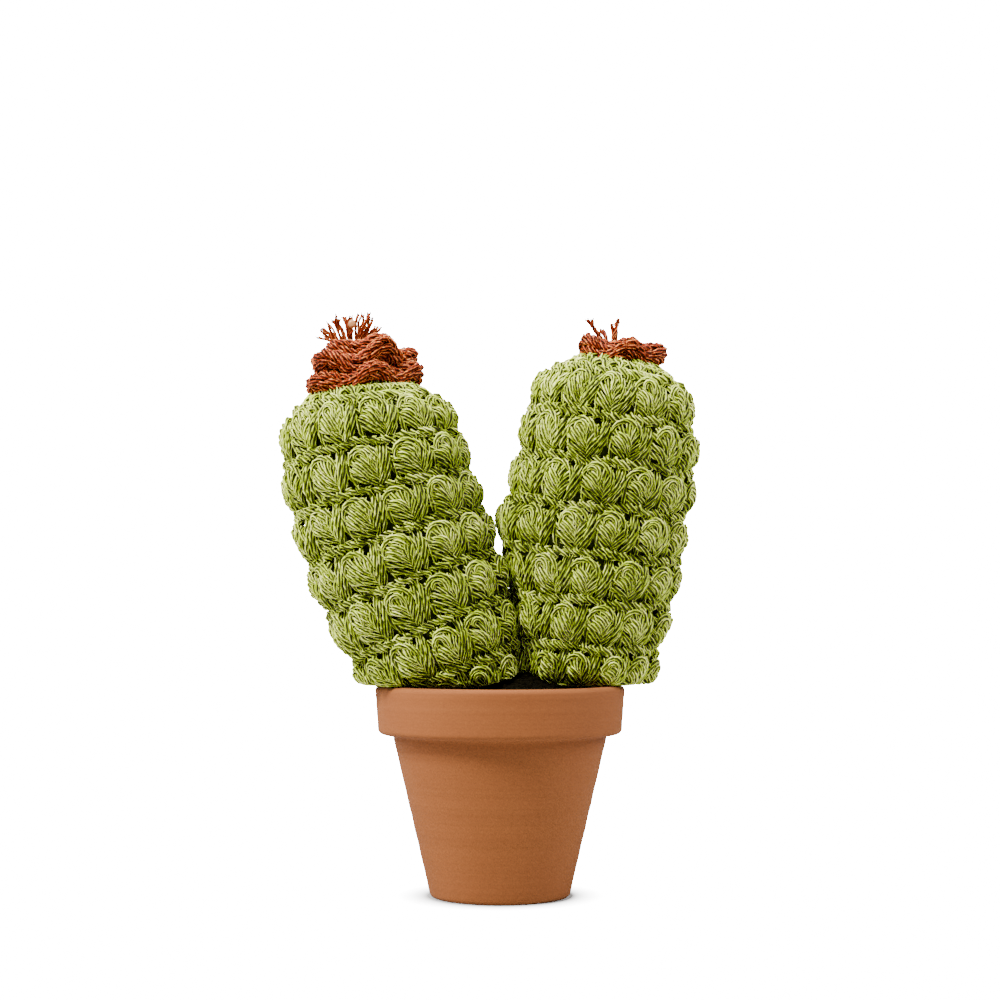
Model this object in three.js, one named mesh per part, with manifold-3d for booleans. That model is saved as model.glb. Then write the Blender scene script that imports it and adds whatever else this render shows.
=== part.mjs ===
// A crocheted cactus in a terracotta pot: two stuffed stems covered in bobble stitches, each with a
// crocheted flower and loose yarn ends on top. Millimetres, +Z up, the front towards -Y.
// Everything is laid out from the pot's own axis and base. The group is then moved along X, so that
// the origin lies under the middle of the whole piece.

import * as THREE from "three";
import { mergeVertices } from "three/addons/utils/BufferGeometryUtils.js";
import Module from "manifold-3d";

const wasm = await Module();
wasm.setup();

const clearance = 0.3; // between pieces that touch
const potAxisX = 2.4; // where the pot's axis stands in the part's frame

const pot = {
  height: 67,
  rimRadius: 40,
  rimHeight: 15.5,
  rimDraft: 0.9, // how much narrower the rim band is at its lower edge
  bodyTopRadius: 34.3,
  baseRadius: 22.6,
  mouthRadius: 35.5,
  floorRadius: 20,
  floor: 4.5,
  drainRadius: 4.5,
  segments: 56,
};

const packing = { top: 60, pocketDepth: 10, segments: 40 };
const soil = { edge: 64.6, ridge: 6.4, ridgeX: 8, ridgeWidth: 9, crumb: 0.5 };

const yarn = {
  wall: 3, // crocheted fabric under the bobbles
  bobble: 5.3, // how far a bobble stands out of the fabric
  bobbleRoundness: 0.7,
  upperBobbles: [0.72, 0.88], // the two upper rows are flatter by these shares
  bobblesRound: 13,
  samplesPerBobble: 4,
  crownStitch: 0.7, // how far the plain stitches of the crown stand out
};

// How square the stem's section is: a power for the crown, and one for the body below the widest place.
const squareness = { crown: 0.67, body: 2.6 };

const foot = { radius: 8, wall: 2.2, neckClearance: 0.7, top: 67, bottom: 50 };
const rest = { height: 67.4, round: 1.2, fade: 3.6 }; // the lowest bobbles flatten on the rim

// The plane that the two stems press on each other with, given by its distance from the pot's axis.
const seam = { turn: 6, distance: 6.2, height: 78, lean: 0.165, gap: 0.4, round: 1.2 };

const samples = yarn.bobblesRound * yarn.samplesPerBobble; // round a stem

const point = (x, y, z) => new THREE.Vector3(x, y, z);
const radians = (degrees) => (degrees * Math.PI) / 180;

const stems = {
  left: {
    side: -1,
    seed: 0,
    spine: [point(-14.8, -4, 68.5), point(-27.3, -3, 101), point(-40.6, -1, 131), point(-44, 0, 163.2)],
    girth: 25.8,
    widestAt: 62,
    lowerReach: 80,
    end: -4, // where the body ends, measured along the spine from its lower end
    firstRow: 31, // distance over the fabric from the crown to the first row of bobbles
    rowPitch: 15,
    turn: -83, // direction of a bobble of the first row
    drift: 3, // how far each row is turned on the one above
    foot: point(-15, -3, 0),
  },
  right: {
    side: 1,
    seed: 20,
    spine: [point(27, 3, 69), point(29.6, 3, 104), point(33.6, 1, 140), point(39, 0, 171)],
    girth: 24.5,
    widestAt: 62,
    lowerReach: 80,
    end: -2,
    firstRow: 27.7,
    rowPitch: 14.4,
    turn: -94,
    drift: -0.5,
    foot: point(21.5, 2, 0),
  },
};

const colours = {
  terracotta: 0xae6a3d,
  packing: 0xd8d4c8,
  soil: 0x2b2418,
  green: 0x9aa832,
  wadding: 0xf0eee6,
  rust: 0xb4521f,
  bead: 0xf2d3b0,
};

// A repeatable draw between 0 and 1 for a pair of counting numbers.
function draw(first, second) {
  const value = Math.sin(first * 12.9898 + second * 78.233) * 43758.5453;
  return value - Math.floor(value);
}

// Limits with a rounded corner: the result is always past the limit.
const atLeast = (value, limit, round) => (value + limit + Math.hypot(value - limit, round)) / 2;
const atMost = (value, limit, round) => (value + limit - Math.hypot(value - limit, round)) / 2;

// A closed solid from rings of points. Each ring runs anticlockwise seen from the start, and a ring
// of one point is a pole. Neighbouring rings may differ in count.
function skin(rings) {
  const positions = [];
  const triangle = (a, b, c) => {
    if (a !== b && b !== c && c !== a) positions.push(...a, ...b, ...c);
  };
  for (let k = 0; k + 1 < rings.length; k += 1) {
    const upper = rings[k];
    const lower = rings[k + 1];
    let i = 0;
    let j = 0;
    while (i < upper.length || j < lower.length) {
      const u = upper[i % upper.length];
      const l = lower[j % lower.length];
      const upperIsBehind = (i + 0.5) / upper.length < (j + 1) / lower.length;
      if (i < upper.length && (j >= lower.length || upperIsBehind)) {
        i += 1;
        triangle(u, l, upper[i % upper.length]);
      } else {
        j += 1;
        triangle(u, l, lower[j % lower.length]);
      }
    }
  }
  const geometry = new THREE.BufferGeometry();
  geometry.setAttribute("position", new THREE.Float32BufferAttribute(positions, 3));
  return geometry;
}

function solidOf(geometry) {
  const bare = geometry.index ? geometry.toNonIndexed() : geometry.clone();
  bare.deleteAttribute("normal");
  bare.deleteAttribute("uv");
  const merged = mergeVertices(bare, 1e-4);
  const triVerts = new Uint32Array(merged.index.array);
  const vertProperties = merged.attributes.position.array;
  return new wasm.Manifold(new wasm.Mesh({ numProp: 3, vertProperties, triVerts }));
}

function geometryOf(solid) {
  const mesh = solid.getMesh();
  const geometry = new THREE.BufferGeometry();
  geometry.setAttribute("position", new THREE.BufferAttribute(new Float32Array(mesh.vertProperties), 3));
  geometry.setIndex(new THREE.BufferAttribute(new Uint32Array(mesh.triVerts), 1));
  return geometry;
}

const join = (geometries) => geometryOf(geometries.map(solidOf).reduce((sum, solid) => sum.add(solid)));
const cut = (geometry, tools) =>
  geometryOf(tools.map(solidOf).reduce((rest, tool) => rest.subtract(tool), solidOf(geometry)));

// A solid turned about the Z axis from an outline of radius and height, listed upwards on the outside.
function turned(outline, segments) {
  const profile = outline.map(([radius, height]) => new THREE.Vector2(radius, height));
  return new THREE.LatheGeometry(profile, segments).rotateX(Math.PI / 2);
}

// Points of a rounded corner in an outline.
function corner(radius, height, size, from, to, steps = 3) {
  return Array.from({ length: steps + 1 }, (_, k) => {
    const angle = radians(from + ((to - from) * k) / steps);
    return [radius + size * Math.cos(angle), height + size * Math.sin(angle)];
  });
}

const innerRadius = (height) =>
  pot.floorRadius + ((pot.mouthRadius - pot.floorRadius) * (height - pot.floor)) / (pot.height - pot.floor);

// The pot, with a rounded foot, a hollow under the rim band, a soft lip and a drain hole.
function potShape() {
  const band = pot.height - pot.rimHeight;
  const bandRadius = pot.rimRadius - pot.rimDraft;
  const outline = [
    [pot.drainRadius, 0],
    ...corner(pot.baseRadius - 1.5, 1.5, 1.5, -90, -10, 2),
    [pot.bodyTopRadius - 0.3, band - 2],
    ...corner(pot.bodyTopRadius + 1.2, band - 1.4, 1.4, 180, 90, 2),
    ...corner(bandRadius - 1.8, band + 1.8, 1.8, -80, 0, 2),
    ...corner(pot.rimRadius - 1.6, pot.height - 1.6, 1.6, 0, 90, 3),
    ...corner(pot.mouthRadius + 1, pot.height - 1, 1, 90, 180, 2),
    [innerRadius(pot.floor + 2), pot.floor + 2],
    [pot.floorRadius - 2, pot.floor],
    [pot.drainRadius, pot.floor],
    [pot.drainRadius, 0],
  ];
  return turned(outline, pot.segments);
}

function spineOf(stem) {
  const curve = new THREE.CubicBezierCurve3(...stem.spine);
  const length = curve.getLength();
  return {
    length,
    // The place and direction at a height along the spine, which runs on straight past its ends.
    at(height) {
      const inside = THREE.MathUtils.clamp(height, 0, length);
      const along = curve.getTangent(inside / length);
      const place = curve.getPoint(inside / length).addScaledVector(along, height - inside);
      return { place, along };
    },
  };
}

// The fabric's section from the crown down, squarish above and below its widest place.
// Each entry has the distance walked over the fabric, the height along the spine, and the radius.
function sectionOf(stem, length) {
  const places = [];
  const crownSteps = 160;
  for (let k = 0; k <= crownSteps; k += 1) {
    const swing = (Math.PI / 2) * (k / crownSteps);
    const height = stem.widestAt + (length - stem.widestAt) * Math.cos(swing) ** squareness.crown;
    places.push({ height, radius: stem.girth * Math.sin(swing) ** squareness.crown });
  }
  const bodySteps = 80;
  for (let k = 1; k <= bodySteps; k += 1) {
    const height = stem.widestAt + ((stem.end - stem.widestAt) * k) / bodySteps;
    const down = (stem.widestAt - height) / stem.lowerReach;
    places.push({ height, radius: stem.girth * Math.sqrt(1 - down ** squareness.body) });
  }
  places[0].walked = 0;
  for (let k = 1; k < places.length; k += 1) {
    const step = Math.hypot(places[k].height - places[k - 1].height, places[k].radius - places[k - 1].radius);
    places[k].walked = places[k - 1].walked + step;
  }
  return places;
}

// Height, radius and outward direction of the fabric at a distance walked over it from the crown.
function sectionAt(section, walked) {
  const last = section.length - 1;
  const found = section.findIndex((place) => place.walked >= walked);
  const k = THREE.MathUtils.clamp(found === -1 ? last : found, 1, last);
  const before = section[k - 1];
  const after = section[k];
  const share = THREE.MathUtils.clamp((walked - before.walked) / (after.walked - before.walked), 0, 1);
  const from = section[Math.max(k - 3, 0)];
  const to = section[Math.min(k + 2, last)];
  const outward = new THREE.Vector2(from.height - to.height, to.radius - from.radius).normalize();
  return {
    height: THREE.MathUtils.lerp(before.height, after.height, share),
    radius: THREE.MathUtils.lerp(before.radius, after.radius, share),
    outward: walked <= 0 ? new THREE.Vector2(0, 1) : outward,
  };
}

// Flattens a point of a stem where it would press into the other stem or onto the pot's rim. It may
// be let past the plane between the stems by a given amount.
function press(stem, place, depth, past) {
  const facing = point(Math.cos(radians(seam.turn)), Math.sin(radians(seam.turn)), 0);
  const reach = place.dot(facing);
  const limit = seam.distance - seam.lean * (place.z - seam.height) + stem.side * (seam.gap / 2 - past);
  const pressed = (stem.side > 0 ? atLeast : atMost)(reach, limit, seam.round);
  place.addScaledVector(facing, pressed - reach);
  place.z = atLeast(place.z, rest.height + depth, rest.round);
  return place;
}

// Height of a bobble over the fabric at a share of its width and of its height from its middle.
function bobbleLift(stem, row, column, across, along) {
  const size = yarn.bobble * (yarn.upperBobbles[row] ?? 1) * (0.88 + 0.24 * draw(row + stem.seed, column));
  const dome = (share) => Math.max(0, 1 - (2 * share) ** 2) ** yarn.bobbleRoundness;
  return size * dome(across) * dome(along);
}

// Everything that is worked out once for a stem.
function fabricOf(stem) {
  const spine = spineOf(stem);
  const section = sectionOf(stem, spine.length);
  const end = section[section.length - 1].walked;

  // A point over the fabric: the lift is measured outwards, and a negative one goes into the stem.
  const at = (walked, turn, lift, past = 0) => {
    const { height, radius, outward } = sectionAt(section, walked);
    const { place, along } = spine.at(height + lift * outward.y);
    const back = point(0, 1, 0).addScaledVector(along, -along.y).normalize();
    const side = back.clone().cross(along);
    const reach = Math.max(0, radius + lift * outward.x);
    place.addScaledVector(side, reach * Math.cos(radians(turn)));
    place.addScaledVector(back, reach * Math.sin(radians(turn)));
    return press(stem, place, Math.max(0, -lift), past);
  };

  const turnAt = (walked) => stem.turn + (stem.drift * (walked - stem.firstRow)) / stem.rowPitch;

  // How far the stitches stand out there, with the bobbles of every other row moved on by a half.
  const relief = (walked, sample) => {
    const rowPlace = (walked - stem.firstRow) / stem.rowPitch;
    if (rowPlace < -0.5) return yarn.crownStitch * (sample % 2);
    const row = Math.floor(rowPlace + 0.5);
    const columnPlace = sample / yarn.samplesPerBobble - (row % 2) / 2;
    const column = Math.round(columnPlace);
    const bobble = THREE.MathUtils.euclideanModulo(column, yarn.bobblesRound);
    const place = at(walked, turnAt(walked) + (360 * sample) / samples, 0);
    const clearOfRim = THREE.MathUtils.smoothstep(place.z, rest.height, rest.height + rest.fade);
    return clearOfRim * bobbleLift(stem, row, bobble, columnPlace - column, rowPlace - row);
  };

  return { at, relief, turnAt, end };
}

// A ring of points over a stem's fabric.
function fabricRing(fabric, walked, count, liftAt, past = 0) {
  return Array.from({ length: count }, (_, k) => {
    const sample = (k * samples) / count;
    return fabric.at(walked, fabric.turnAt(walked) + (360 * k) / count, liftAt(walked, sample), past);
  });
}

function middleOf(ring) {
  return ring.reduce((sum, place) => sum.add(place), point(0, 0, 0)).divideScalar(ring.length);
}

function footRing(stem, height, radius, count) {
  return Array.from({ length: count }, (_, k) => {
    const angle = radians(stem.turn + (360 * k) / count);
    return stem.foot.clone().add(point(radius * Math.cos(angle), radius * Math.sin(angle), height));
  });
}

// Distances over the fabric at which the rings of a cover lie: a few on the crown, four to a row.
function ringPlaces(stem, end) {
  const firstEdge = stem.firstRow - stem.rowPitch / 2;
  const crown = [0.25, 0.5, 0.72, 0.9].map((share) => share * firstEdge);
  const rows = [];
  for (let walked = firstEdge; walked < end - 1; walked += stem.rowPitch / 4) rows.push(walked);
  return [...crown, ...rows, end];
}

// The rings inside a cover, which its stuffing shares so that their facets run alike.
const insidePlaces = (fabric) => [0.16, 0.3, 0.45, 0.6, 0.75, 0.9, 1].map((share) => share * fabric.end);

// The crocheted cover of a stem: bobbles outside, plain inside, with a plain foot open at its end.
function coverShape(stem, fabric) {
  const places = ringPlaces(stem, fabric.end);
  const outside = places.map((walked) => fabricRing(fabric, walked, samples, fabric.relief));
  const insideCount = samples / 2;
  const depth = () => -yarn.wall;
  const inside = insidePlaces(fabric).map((walked) => fabricRing(fabric, walked, insideCount, depth));
  return skin([
    [fabric.at(0, 0, yarn.crownStitch)],
    ...outside,
    footRing(stem, foot.top, foot.radius, insideCount),
    footRing(stem, foot.bottom, foot.radius, insideCount),
    footRing(stem, foot.bottom, foot.radius - foot.wall, insideCount),
    footRing(stem, foot.top + yarn.wall, foot.radius - foot.wall, insideCount),
    ...inside.reverse(),
    [fabric.at(0, 0, -yarn.wall)],
  ]);
}

// The stuffing of a stem, clear of its cover all round.
function waddingShape(stem, fabric) {
  const count = samples / 2;
  const depth = yarn.wall + 2 * clearance;
  const body = insidePlaces(fabric).map((walked) => {
    const tuck = walked === fabric.end ? foot.neckClearance : 0;
    return fabricRing(fabric, walked, count, () => -depth - tuck);
  });
  const neckRadius = foot.radius - foot.wall - clearance;
  const neck = foot.top + yarn.wall + foot.neckClearance;
  return skin([
    [fabric.at(0, 0, -depth)],
    ...body,
    footRing(stem, neck, neckRadius - clearance, count),
    footRing(stem, foot.top, neckRadius, count),
    footRing(stem, foot.bottom, neckRadius, count),
    [stem.foot.clone().setZ(foot.bottom)],
  ]);
}

// A plain shape a little larger than the top of a stem, which hollows the underside of its flower.
function crownShape(stem, fabric) {
  const count = samples / 2;
  const spread = () => yarn.crownStitch + clearance;
  const places = ringPlaces(stem, fabric.end).filter((walked) => walked < stem.firstRow + 1);
  const rings = places.map((walked) => fabricRing(fabric, walked, count, spread));
  return skin([[fabric.at(0, 0, spread())], ...rings, [middleOf(rings[rings.length - 1])]]);
}

// A plain shape a little larger than a stem, to clear its nest in the soil.
function nestShape(stem, fabric) {
  const count = 30;
  const spread = yarn.bobble * 1.12 + clearance;
  const places = [0.55, 0.7, 0.85, 1].map((share) => share * fabric.end);
  const rings = places.map((walked) => fabricRing(fabric, walked, count, () => spread, 2 * clearance));
  return skin([
    [middleOf(rings[0])],
    ...rings,
    footRing(stem, rest.height - clearance - 0.1, foot.radius + 8, count),
    footRing(stem, foot.top - 1, foot.radius + clearance, count),
    footRing(stem, foot.bottom - clearance, foot.radius + clearance, count),
    [stem.foot.clone().setZ(foot.bottom - clearance)],
  ]);
}

// The packing, with a plain pocket for the foot of each stem.
function packingShape() {
  const bottom = pot.floor + clearance;
  const outline = [
    [0, bottom],
    [pot.floorRadius - 2, bottom],
    [innerRadius(bottom + 2) - clearance, bottom + 2],
    [innerRadius(packing.top) - clearance, packing.top],
    [0, packing.top],
  ];
  const pockets = Object.values(stems).map((stem) => {
    const radius = foot.radius + clearance;
    const depth = packing.pocketDepth + clearance;
    const pocket = new THREE.CylinderGeometry(radius, radius, 2 * depth, 26).rotateX(Math.PI / 2);
    return pocket.translate(stem.foot.x, stem.foot.y, packing.top);
  });
  return cut(turned(outline, packing.segments), pockets);
}

// The dark cover over the packing, crumbly, and heaped up between the stems.
function soilShape(fabrics) {
  const bottom = packing.top + clearance;
  const radius = innerRadius(bottom) - clearance;
  const count = 40;
  const circle = (share, heightAt) =>
    Array.from({ length: count }, (_, k) => {
      const angle = (2 * Math.PI * k) / count;
      const x = share * radius * Math.cos(angle);
      const y = share * radius * Math.sin(angle);
      return point(x, y, heightAt(x, y, k));
    });
  const heaped = (ring) => (x, y, k) => {
    const across = (x - soil.ridgeX) / soil.ridgeWidth;
    const along = y / radius;
    const heap = soil.ridge * Math.exp(-(across ** 2)) * (1 - along ** 2);
    return soil.edge + heap + soil.crumb * (2 * draw(ring, k) - 1);
  };
  const mound = skin([
    [point(0, 0, soil.edge + soil.ridge / 2)],
    ...[0.25, 0.5, 0.75, 1].map((share, ring) => circle(share, heaped(ring))),
    circle(1, () => bottom),
    [point(0, 0, bottom)],
  ]);
  const nests = Object.entries(stems).map(([name, stem]) => nestShape(stem, fabrics[name]));
  return cut(mound, nests);
}

// One ruffled tier of a flower: a thick round of crochet whose edge is scalloped into petals that
// rise and fall in turn. Its underside's middle is at the origin.
function tierShape({ radius, petals, scallop, ruffle, rise, turn, thickness, seed }) {
  const perPetal = 6;
  const count = petals * perPetal;
  const ring = (share, layer) =>
    Array.from({ length: count }, (_, k) => {
      const angle = radians(turn) + (2 * Math.PI * k) / count;
      const petal = Math.floor(k / perPetal + 0.5) % petals;
      const wave = Math.cos((2 * Math.PI * k) / perPetal);
      const size = radius * (1 - (scallop * (1 - wave)) / 2) * (0.94 + 0.12 * draw(seed, petal));
      const lift = ruffle * (draw(seed + 1, petal) + 0.4) * wave + ruffle * 0.5 * Math.sin(2 * angle + seed);
      const height = rise * share ** 2 + lift * share ** 3 + thickness * layer;
      return point(size * share * Math.cos(angle), size * share * Math.sin(angle), height);
    });
  const bend = thickness / 2 / radius;
  const edge = [0, 45, 90, 135, 180].map((angle) =>
    ring(1 - bend + bend * Math.sin(radians(angle)), 0.5 + 0.5 * Math.cos(radians(angle))),
  );
  return skin([
    [point(0, 0, thickness)],
    ring(0.4, 1),
    ring(0.65, 1),
    ...edge,
    ring(0.65, 0),
    ring(0.4, 0),
    [point(0, 0, 0)],
  ]);
}

// A yarn end along a smooth path, thin at its tip. The path starts at the root.
function strandShape(path, rootRadius, tipRadius) {
  const curve = new THREE.CatmullRomCurve3(path);
  const sides = 4;
  const steps = 2;
  const rings = [];
  for (let k = steps; k >= 0; k -= 1) {
    const middle = curve.getPoint(k / steps);
    const along = curve.getTangent(k / steps);
    const across = point(0.31, 0.95, 0).cross(along).normalize();
    const other = along.clone().cross(across);
    const radius = THREE.MathUtils.lerp(rootRadius, tipRadius, k / steps);
    const ring = Array.from({ length: sides }, (_, side) => {
      const angle = (2 * Math.PI * side) / sides;
      const offset = across.clone().multiplyScalar(radius * Math.cos(angle));
      return middle.clone().add(offset).addScaledVector(other, radius * Math.sin(angle));
    });
    rings.push(ring);
  }
  return skin([[curve.getPoint(1)], ...rings, [curve.getPoint(0)]]);
}

// The knot under a tuft of yarn ends: a low dome in which they all end.
function knotShape(radius, height) {
  const outline = [
    [0, 0],
    [radius, 0],
    ...corner(0, 0, 1, 0, 90, 3).map(([x, z]) => [radius * x, 0.3 + height * z]),
  ];
  outline[outline.length - 1][0] = 0;
  return turned(outline, 12);
}

const leftFlower = {
  place: point(-44.3, 0, 164.4),
  lean: -5, // turned about Y, so that it sits square on the stem's crown
  tiers: [
    {
      height: 0, radius: 19.2, thickness: 4.2, petals: 6, turn: -75,
      scallop: 0.14, ruffle: 2.3, rise: -1.8, seed: 3,
    },
    {
      height: 5, radius: 17.4, thickness: 4, petals: 5, turn: -60,
      scallop: 0.16, ruffle: 2.3, rise: 0.4, seed: 9,
    },
    {
      height: 8.6, radius: 11.6, thickness: 3.6, petals: 4, turn: -50,
      scallop: 0.2, ruffle: 1, rise: 0.4, seed: 15,
    },
  ],
  core: 6,
  tuftX: -2.6,
};

const rightFlower = {
  place: point(38.6, 0, 171),
  lean: 6,
  tiers: [
    {
      height: 0, radius: 13.4, thickness: 5, petals: 5, turn: -80,
      scallop: 0.12, ruffle: 1.5, rise: 0.4, seed: 21,
    },
  ],
  core: 0,
  tuftX: -2.8,
};

// The yarn ends of the big flower reach further sideways than up.
const leftTuft = { strands: 15, wide: 10.8, tall: 8.8, spread: 64, turn: 40, root: 0.75, tip: 0.5, knot: 3.4 };
const rightTuft = { root: 0.95, tip: 0.55, knot: 2.6 };
const bead = { radius: 1.3, tall: 1.1, place: point(0.7, -2.9, 7.6) };

// The yarn ends of the small flower, as the way from the root to the tip of each.
const rightEnds = [
  point(-8, -1.2, 8.3),
  point(-3.2, 1.4, 5.4),
  point(0.9, -1.8, 7),
  point(2.6, 1, 8.5),
];

function flowerShape(flower) {
  const parts = flower.tiers.map((tier) => tierShape(tier).translate(0, 0, tier.height));
  if (flower.core > 0) {
    const top = flower.tiers[flower.tiers.length - 1].height + 1.5;
    const column = new THREE.CylinderGeometry(flower.core, flower.core, top - 1, 16);
    parts.push(column.rotateX(Math.PI / 2).translate(0, 0, (top + 1) / 2));
  }
  return join(parts);
}

// Yarn ends spread evenly all round by the golden angle, the outer ones leaning out furthest.
function leftEnds() {
  const golden = 137.508;
  return Array.from({ length: leftTuft.strands }, (_, k) => {
    const lean = radians(leftTuft.spread * Math.sqrt((k + 0.4) / leftTuft.strands));
    const turn = radians(leftTuft.turn + golden * k);
    const size = 0.84 + 0.2 * draw(31, k);
    const out = size * leftTuft.wide * Math.sin(lean);
    return point(out * Math.cos(turn), out * Math.sin(turn), size * leftTuft.tall * Math.cos(lean));
  });
}

function tuftShape(ends, tuft) {
  const strands = ends.map((tip) => {
    const root = point(tip.x * 0.12, tip.y * 0.12, 0.5);
    const middle = point(tip.x * 0.42, tip.y * 0.42, tip.z * 0.58);
    return strandShape([root, middle, tip], tuft.root, tuft.tip);
  });
  return join([knotShape(tuft.knot, 1.4), ...strands]);
}

function beadShape() {
  return new THREE.SphereGeometry(bead.radius, 14, 10).rotateX(Math.PI / 2).scale(0.95, 0.9, bead.tall);
}

// Puts a shape that was made about a flower's foot onto its stem.
function seat(geometry, flower) {
  geometry.rotateY(radians(flower.lean));
  return geometry.translate(flower.place.x, flower.place.y, flower.place.z);
}

// Puts a shape that was made about the root of a flower's yarn ends onto its stem.
function seatOnTop(geometry, flower) {
  const top = flower.tiers[flower.tiers.length - 1];
  return seat(geometry.translate(flower.tuftX, 0, top.height + top.thickness + 2 * clearance), flower);
}

function piece(name, geometry, color, roughness) {
  const mesh = new THREE.Mesh(geometry, new THREE.MeshStandardMaterial({ color, roughness, metalness: 0 }));
  mesh.name = name;
  return mesh;
}

const fabrics = { left: fabricOf(stems.left), right: fabricOf(stems.right) };
const flowerOn = (name, flower) =>
  cut(seat(flowerShape(flower), flower), [crownShape(stems[name], fabrics[name])]);
const underBead = bead.place.z - bead.radius * bead.tall - 1.5 * clearance;
const leftTuftEnds = [...leftEnds(), bead.place.clone().setZ(underBead)];

const cactus = new THREE.Group();
cactus.position.x = potAxisX;
cactus.add(
  piece("pot", potShape(), colours.terracotta, 0.85),
  piece("pot_packing", packingShape(), colours.packing, 0.95),
  piece("soil_top", soilShape(fabrics), colours.soil, 1),
);
for (const [name, stem] of Object.entries(stems)) {
  cactus.add(
    piece(`${name}_stem_cover`, coverShape(stem, fabrics[name]), colours.green, 0.6),
    piece(`${name}_stem_wadding`, waddingShape(stem, fabrics[name]), colours.wadding, 1),
  );
}
cactus.add(
  piece("left_flower", flowerOn("left", leftFlower), colours.rust, 0.7),
  piece("left_flower_stamens", seatOnTop(tuftShape(leftTuftEnds, leftTuft), leftFlower), colours.rust, 0.75),
  piece("left_flower_bead", seatOnTop(beadShape().translate(...bead.place), leftFlower), colours.bead, 0.4),
  piece("right_flower", flowerOn("right", rightFlower), colours.rust, 0.7),
  piece("right_flower_stamens", seatOnTop(tuftShape(rightEnds, rightTuft), rightFlower), colours.rust, 0.75),
);

const model = new THREE.Group();
model.add(cactus);

export default model;
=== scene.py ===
# A crocheted cactus in a terracotta pot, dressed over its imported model: yarn laid stitch by stitch over
# two stuffed stems, two ruffled flowers with frayed yarn ends, a thrown clay pot and dark soil.
# Lengths in the making functions are millimetres from the pot's axis; meshes are written in metres.

import math

import bpy
import numpy as np
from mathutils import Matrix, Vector


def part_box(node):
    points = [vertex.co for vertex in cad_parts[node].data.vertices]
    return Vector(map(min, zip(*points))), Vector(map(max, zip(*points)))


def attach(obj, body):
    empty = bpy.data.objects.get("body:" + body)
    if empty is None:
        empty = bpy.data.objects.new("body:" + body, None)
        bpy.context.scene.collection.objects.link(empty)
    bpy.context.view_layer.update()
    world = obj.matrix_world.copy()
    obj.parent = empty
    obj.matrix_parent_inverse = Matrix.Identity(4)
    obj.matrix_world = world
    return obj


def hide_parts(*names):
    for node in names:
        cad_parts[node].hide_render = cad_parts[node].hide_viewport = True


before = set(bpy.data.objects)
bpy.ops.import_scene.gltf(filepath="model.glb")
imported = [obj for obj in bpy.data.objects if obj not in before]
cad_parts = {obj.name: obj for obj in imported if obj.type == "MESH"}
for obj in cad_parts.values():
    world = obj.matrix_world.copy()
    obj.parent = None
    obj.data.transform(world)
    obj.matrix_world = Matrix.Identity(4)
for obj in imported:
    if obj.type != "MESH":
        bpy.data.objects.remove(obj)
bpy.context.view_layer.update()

MM = 0.001
BODY = "root"
pot_low, pot_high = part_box("pot")
POT_AXIS_X = (pot_low.x + pot_high.x) / 2
POT_HEIGHT = pot_high.z / MM
RIM_RADIUS = (pot_high.x - pot_low.x) / 2 / MM

# The green yarn, the covers' wall, and how high a bobble stands, less so in the first rows
YARN = 2.3
WALL = 3.0
BOBBLE = 5.3
UPPER_BOBBLES = (0.92, 0.97)
BOBBLES_ROUND = 13
LEGS = 9

# A bobble's dome, in shares of a stitch's width and of a row's height
DOME_HALF_WIDTH = 0.52
DOME_HALF_HEIGHT = 0.51
DOME_RISE = 0.03
LEAST_SHOWN = 0.12

# The plaited chain between two rows, and the plain rounds over the crown
CHAIN_WAVES = 2.15
CHAIN_SWING = 1.15
CHAIN_LIFT = 2.1
CROWN_PITCH = 4.2
CROWN_STITCH = 4.4

# The stems' widest height, their crowns, and where the right one swells towards the left
WIDEST_AT = 62.0
CROWN_SQUARENESS = 0.67
SWELL_HEIGHT = 45
SWELL_REACH = 11

# Where the stems press on the rim and on each other
REST_HEIGHT = 67.4
REST_ROUND = 1.2
REST_FADE = 3.6
SEAM_TURN = math.radians(6)
SEAM_DISTANCE = 6.2
SEAM_HEIGHT = 78
SEAM_LEAN = 0.165
SEAM_GAP = 0.4
SEAM_ROUND = 0.6

# The plain feet of the covers, in the pot
FOOT_RADIUS = 8
FOOT_WALL = 2.2
FOOT_BOTTOM = 50

# How far the fabric under the stitches is lifted, and how much more where the stems meet
FABRIC_LIFT = 1.0
FABRIC_FILL = 1.6

# The rust yarn of the flowers
RUST_YARN = 2.0
ROUND_PITCH = 2.75
RUST_STITCH = 3.5
TIER_DEPTH = 0.7


def in_metres(points):
    """Points in millimetres from the pot's axis, as metres in the part's frame."""
    moved = np.array(points, float) * MM
    moved[..., 0] += POT_AXIS_X
    return moved


def draw(first, second):
    """A repeatable number between 0 and 1. What the calls add to their numbers keeps the draws apart."""
    value = math.sin(first * 12.9898 + second * 78.233) * 43758.5453
    return value - math.floor(value)


def sway(first, second, amount):
    """A repeatable number between minus the amount and plus it."""
    return amount * (2 * draw(first, second) - 1)


def arch(steps):
    """Rises from 0 to 1 at half way and falls back to 0."""
    return np.sin(math.pi * steps)


def alike(*values):
    """The values as arrays of one shape."""
    return np.broadcast_arrays(*(np.asarray(value, float) for value in values))


def round_angles(count):
    return np.linspace(0, math.tau, count, endpoint=False)


def circle(angle, radius, height):
    """Points round the upright axis."""
    return np.stack(alike(radius * np.cos(angle), radius * np.sin(angle), height), axis=-1)


def smoothstep(value, low, high):
    share = np.clip((value - low) / (high - low), 0, 1)
    return share * share * (3 - 2 * share)


def at_least(value, limit, rounding):
    """The larger of two numbers, with a rounded change between them."""
    return (value + limit + np.hypot(value - limit, rounding)) / 2


def at_most(value, limit, rounding):
    """The smaller of two numbers, rounded in the same way."""
    return (value + limit - np.hypot(value - limit, rounding)) / 2


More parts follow.
